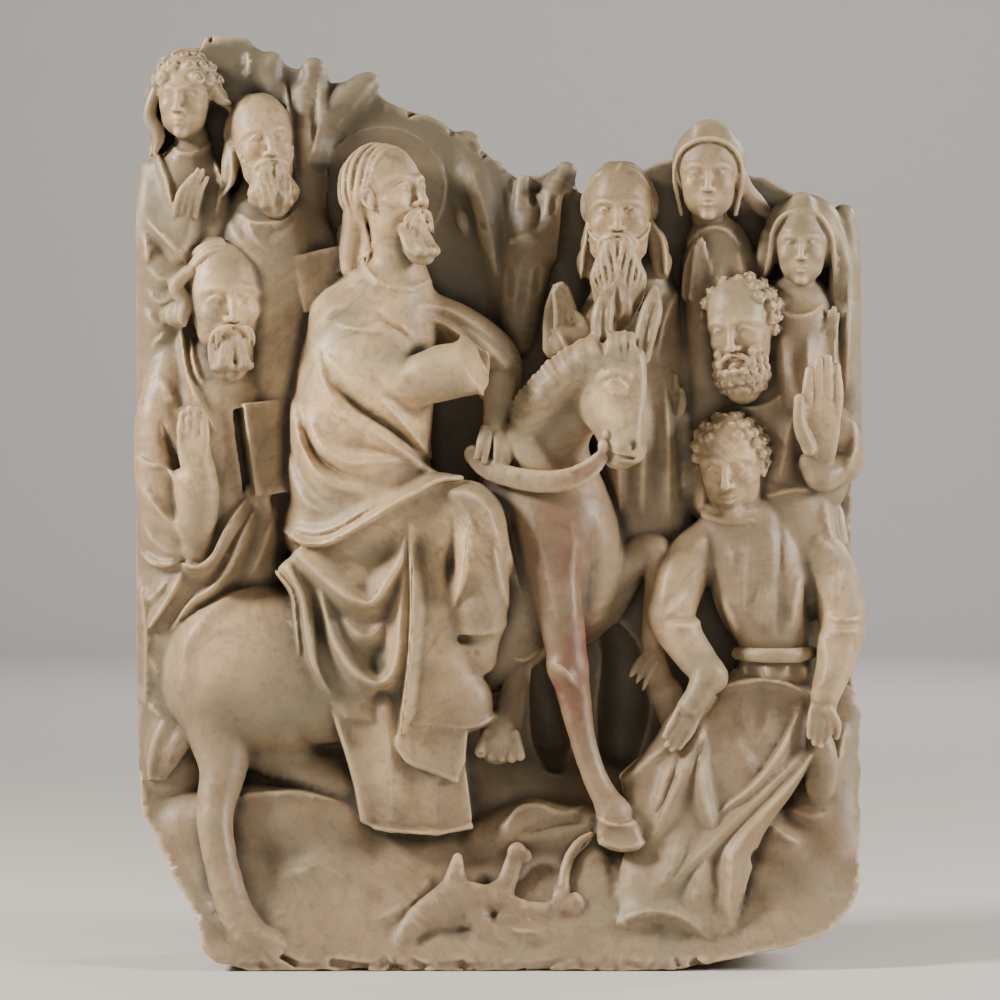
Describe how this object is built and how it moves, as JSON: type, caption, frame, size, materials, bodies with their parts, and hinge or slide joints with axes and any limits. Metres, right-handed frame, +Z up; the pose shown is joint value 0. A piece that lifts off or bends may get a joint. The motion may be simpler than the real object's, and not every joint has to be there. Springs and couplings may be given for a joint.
{
  "type": "alabaster relief panel",
  "caption": "Carved stone relief with a flat back: a bearded rider on a donkey among standing people, and a youth who spreads a garment on the ground.",
  "frame": {"origin": "middle of the underside", "axes": "+Z up, -Y the carved front, +Y the flat back, +X to the viewer's right"},
  "size_m": [0.336, 0.08, 0.43],
  "materials": {
    "alabaster": "polished cream alabaster with a waxy gloss, brown dirt in the hollows and reddish stains"
  },
  "bodies": {
    "root": {"relief_panel": "alabaster"}
  },
  "joints": []
}
